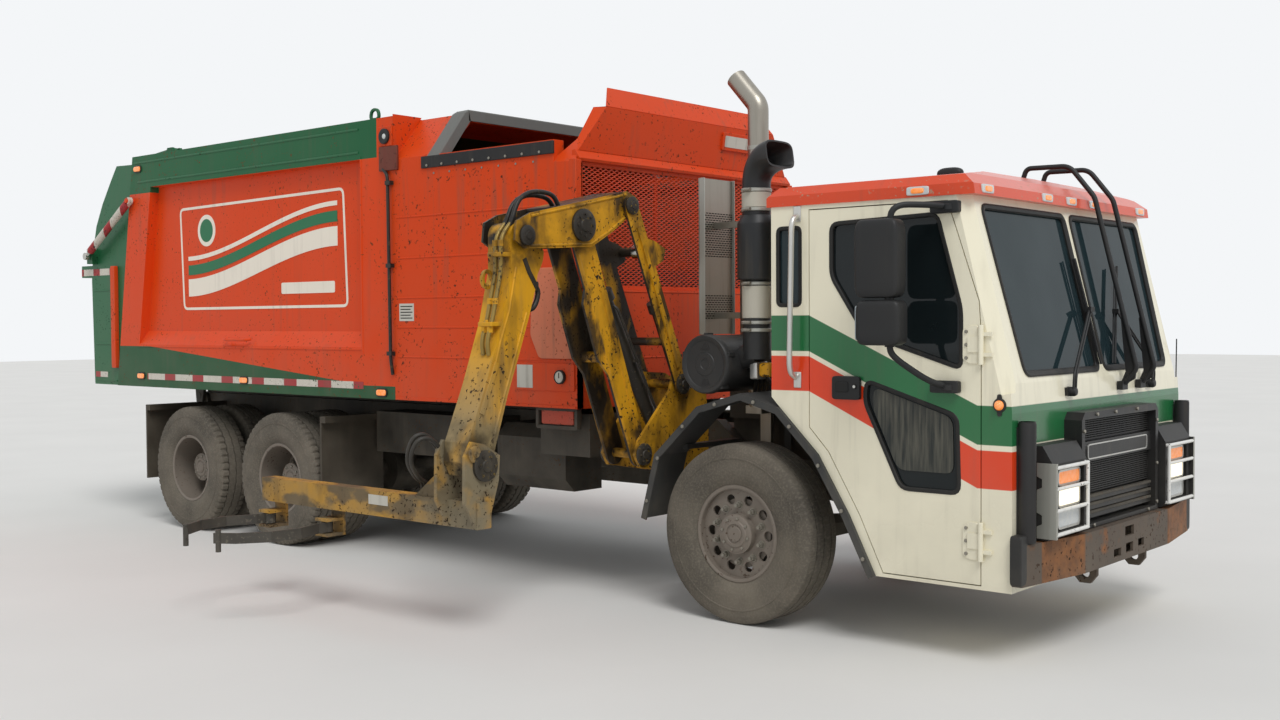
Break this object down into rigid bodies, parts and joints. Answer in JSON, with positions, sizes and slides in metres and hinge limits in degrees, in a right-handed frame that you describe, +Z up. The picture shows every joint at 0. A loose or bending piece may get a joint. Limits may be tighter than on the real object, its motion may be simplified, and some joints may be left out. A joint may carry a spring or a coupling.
{
  "type": "side-loading garbage truck",
  "caption": "Low cab-over refuse truck with an articulated side-loading arm, open-topped hopper, tipping packer body and top-hung tailgate.",
  "frame": {"origin": "on the ground, under the middle of the front axle, where the tyres rest", "axes": "+X towards the truck's front, +Y to its left, +Z up; the loading arm is on the right, at -Y"},
  "size_m": [9.637, 4.6983, 3.38],
  "materials": {
    "cab_white": "gloss",
    "cab_orange": "gloss",
    "body_orange": "satin",
    "body_green": "satin",
    "arm_yellow": "satin",
    "frame_black": "satin",
    "bumper_rust": "matt",
    "black_plastic": "matt",
    "dark_rubber": "matt",
    "tyre_rubber": "matt",
    "rim_steel": "satin",
    "window_glass": "gloss",
    "dark_steel": "matt",
    "rod_chrome": "polished",
    "seat_cloth": "matt",
    "cast_block": "matt",
    "stack_steel": "satin"
  },
  "bodies": {
    "chassis": {"frame_rails": "frame_black", "front_bumper": "bumper_rust", "front_axle": "frame_black", "rear_axles": "frame_black", "engine_block": "cast_block", "chassis_tanks": "frame_black", "cab_shell": "cab_white", "cab_roof": "cab_orange", "cab_glass": "window_glass", "dashboard": "black_plastic", "cab_seats": "seat_cloth", "seat_pedestals": "black_plastic", "grille": "black_plastic", "headlamps": "black_plastic", "cab_guards": "frame_black", "mudguards": "dark_rubber", "exhaust_stack": "stack_steel", "air_intake": "black_plastic", "arm_base": "arm_yellow"},
    "door_right": {"door_right": "cab_white", "door_glass_right": "window_glass", "mirrors_right": "black_plastic"},
    "door_left": {"door_left": "cab_white", "door_glass_left": "window_glass", "mirrors_left": "black_plastic"},
    "knuckle_right": {"knuckle_right": "dark_steel"},
    "knuckle_left": {"knuckle_left": "dark_steel"},
    "front_wheel_right": {"tyre_front_right": "tyre_rubber", "rim_front_right": "rim_steel"},
    "front_wheel_left": {"tyre_front_left": "tyre_rubber", "rim_front_left": "rim_steel"},
    "body": {"body_floor": "frame_black", "body_shell": "body_orange", "hopper_walls": "body_orange", "hopper_screen": "body_orange"},
    "packer": {"packer_panel": "dark_steel"},
    "tailgate": {"tailgate": "body_green"},
    "gate_barrels": {"gate_cylinder_barrels": "body_green"},
    "gate_rods": {"gate_cylinder_rods": "rod_chrome"},
    "hoist_barrels": {"hoist_barrels": "dark_steel"},
    "hoist_rods": {"hoist_rods": "rod_chrome"},
    "boom": {"boom": "arm_yellow"},
    "boom_link": {"boom_link": "arm_yellow"},
    "top_link": {"top_link": "arm_yellow"},
    "forearm": {"forearm": "arm_yellow"},
    "lift_barrel": {"lift_barrel": "dark_steel"},
    "lift_rod": {"lift_rod": "rod_chrome"},
    "reach_barrel": {"reach_barrel": "dark_steel"},
    "reach_rod": {"reach_rod": "rod_chrome"},
    "grabber": {"grabber_beam": "arm_yellow"},
    "finger_front": {"finger_front": "dark_steel"},
    "finger_rear": {"finger_rear": "dark_steel"},
    "rear_wheel_1_right": {"tyres_rear_1_right": "tyre_rubber", "rims_rear_1_right": "rim_steel"},
    "rear_wheel_1_left": {"tyres_rear_1_left": "tyre_rubber", "rims_rear_1_left": "rim_steel"},
    "rear_wheel_2_right": {"tyres_rear_2_right": "tyre_rubber", "rims_rear_2_right": "rim_steel"},
    "rear_wheel_2_left": {"tyres_rear_2_left": "tyre_rubber", "rims_rear_2_left": "rim_steel"}
  },
  "joints": [
    {"name": "steer_right", "type": "hinge", "parent": "chassis", "child": "knuckle_right", "pos_m": [0, -0.868, 0.533], "axis": [0, 0, 1], "range_deg": [-30, 30]},
    {"name": "steer_left", "type": "hinge", "parent": "chassis", "child": "knuckle_left", "pos_m": [0, 0.868, 0.533], "axis": [0, 0, 1], "range_deg": [-30, 30]},
    {"name": "roll_front_right", "type": "hinge", "parent": "knuckle_right", "child": "front_wheel_right", "pos_m": [0, -1.044, 0.533], "axis": [0, 1, 0], "continuous": true},
    {"name": "roll_front_left", "type": "hinge", "parent": "knuckle_left", "child": "front_wheel_left", "pos_m": [0, 1.044, 0.533], "axis": [0, 1, 0], "continuous": true},
    {"name": "roll_rear_1_right", "type": "hinge", "parent": "chassis", "child": "rear_wheel_1_right", "pos_m": [-4.55, -0.91, 0.533], "axis": [0, 1, 0], "continuous": true},
    {"name": "roll_rear_1_left", "type": "hinge", "parent": "chassis", "child": "rear_wheel_1_left", "pos_m": [-4.55, 0.91, 0.533], "axis": [0, 1, 0], "continuous": true},
    {"name": "roll_rear_2_right", "type": "hinge", "parent": "chassis", "child": "rear_wheel_2_right", "pos_m": [-5.87, -0.91, 0.533], "axis": [0, 1, 0], "continuous": true},
    {"name": "roll_rear_2_left", "type": "hinge", "parent": "chassis", "child": "rear_wheel_2_left", "pos_m": [-5.87, 0.91, 0.533], "axis": [0, 1, 0], "continuous": true},
    {"name": "door_right_swing", "type": "hinge", "parent": "chassis", "child": "door_right", "pos_m": [1.576, -1.204, 1.155], "axis": [0, 0, 1], "range_deg": [0, 70]},
    {"name": "door_left_swing", "type": "hinge", "parent": "chassis", "child": "door_left", "pos_m": [1.576, 1.204, 1.155], "axis": [0, 0, -1], "range_deg": [0, 70]},
    {"name": "body_tilt", "type": "hinge", "parent": "chassis", "child": "body", "pos_m": [-6.85, 0, 1.1], "axis": [0, -1, 0], "range_deg": [0, 40]},
    {"name": "packer_slide", "type": "slide", "parent": "body", "child": "packer", "axis": [-1, 0, 0], "range_m": [0, 1.1]},
    {"name": "tailgate_lift", "type": "hinge", "parent": "body", "child": "tailgate", "pos_m": [-6.52, 0, 3.335], "axis": [0, 1, 0], "range_deg": [0, 80]},
    {"name": "gate_cylinder_swing", "type": "hinge", "parent": "body", "child": "gate_barrels", "pos_m": [-6.7, 0, 2.89], "axis": [0, 1, 0], "range_deg": [-2, 96]},
    {"name": "gate_cylinder_stroke", "type": "slide", "parent": "gate_barrels", "child": "gate_rods", "axis": [-0.8594, 0, -0.5113], "range_m": [-0.01, 0.658]},
    {"name": "hoist_swing", "type": "hinge", "parent": "chassis", "child": "hoist_barrels", "pos_m": [-3.3, 0, 0.76], "axis": [0, 1, 0], "range_deg": [-1, 40]},
    {"name": "hoist_stroke", "type": "slide", "parent": "hoist_barrels", "child": "hoist_rods", "axis": [-0.9747, 0, 0.2236], "range_m": [-0.01, 0.979]},
    {"name": "boom_swing", "type": "hinge", "parent": "chassis", "child": "boom", "pos_m": [-0.92, -1.1, 0.95], "axis": [1, 0, 0], "range_deg": [-24, 16]},
    {"name": "boom_link_swing", "type": "hinge", "parent": "chassis", "child": "boom_link", "pos_m": [-0.92, -0.74, 1.38], "axis": [1, 0, 0], "range_deg": [-32, 22]},
    {"name": "top_link_swing", "type": "hinge", "parent": "boom", "child": "top_link", "pos_m": [-0.92, -1.64, 2.36], "axis": [1, 0, 0], "range_deg": [-20, 28]},
    {"name": "elbow", "type": "hinge", "parent": "top_link", "child": "forearm", "pos_m": [-0.92, -2.11, 2.28], "axis": [-1, 0, 0], "range_deg": [-15, 170]},
    {"name": "grabber_tilt", "type": "hinge", "parent": "forearm", "child": "grabber", "pos_m": [-0.92, -2.44, 0.99], "axis": [-1, 0, 0], "range_deg": [-20, 30]},
    {"name": "lift_cylinder_swing", "type": "hinge", "parent": "chassis", "child": "lift_barrel", "pos_m": [-0.92, -0.774, 1.01], "axis": [1, 0, 0], "range_deg": [-24, 16]},
    {"name": "lift_cylinder_stroke", "type": "slide", "parent": "lift_barrel", "child": "lift_rod", "axis": [0, -0.4934, 0.8698], "range_m": [-0.14, 0.1]},
    {"name": "reach_cylinder_swing", "type": "hinge", "parent": "chassis", "child": "reach_barrel", "pos_m": [-0.92, -0.545, 1.36], "axis": [1, 0, 0], "range_deg": [-29, 20]},
    {"name": "reach_cylinder_stroke", "type": "slide", "parent": "reach_barrel", "child": "reach_rod", "axis": [0, -0.4305, 0.9026], "range_m": [-0.1, 0.07]},
    {"name": "finger_front_swing", "type": "hinge", "parent": "grabber", "child": "finger_front", "pos_m": [-2.15, -2.5, 0.531], "axis": [0, 0, 1], "range_deg": [0, 65]},
    {"name": "finger_rear_swing", "type": "hinge", "parent": "grabber", "child": "finger_rear", "pos_m": [-2.75, -2.5, 0.531], "axis": [0, 0, -1], "range_deg": [0, 65]}
  ],
  "couplings": [
    {"joint": "steer_left", "follows": "steer_right", "ratio": 1},
    {"joint": "gate_cylinder_swing", "follows": "tailgate_lift", "ratio": 1.0641},
    {"joint": "gate_cylinder_stroke", "follows": "tailgate_lift", "m_per_rad": 0.4354},
    {"joint": "hoist_swing", "follows": "body_tilt", "ratio": 0.5746},
    {"joint": "hoist_stroke", "follows": "body_tilt", "m_per_rad": 1.3302},
    {"joint": "boom_link_swing", "follows": "boom_swing", "ratio": 1.255},
    {"joint": "top_link_swing", "follows": "boom_swing", "ratio": -1.1},
    {"joint": "lift_cylinder_swing", "follows": "boom_swing", "ratio": 0.935},
    {"joint": "lift_cylinder_stroke", "follows": "boom_swing", "m_per_rad": 0.314},
    {"joint": "reach_cylinder_swing", "follows": "boom_swing", "ratio": 1.14},
    {"joint": "reach_cylinder_stroke", "follows": "boom_swing", "m_per_rad": 0.212},
    {"joint": "finger_rear_swing", "follows": "finger_front_swing", "ratio": 1}
  ]
}
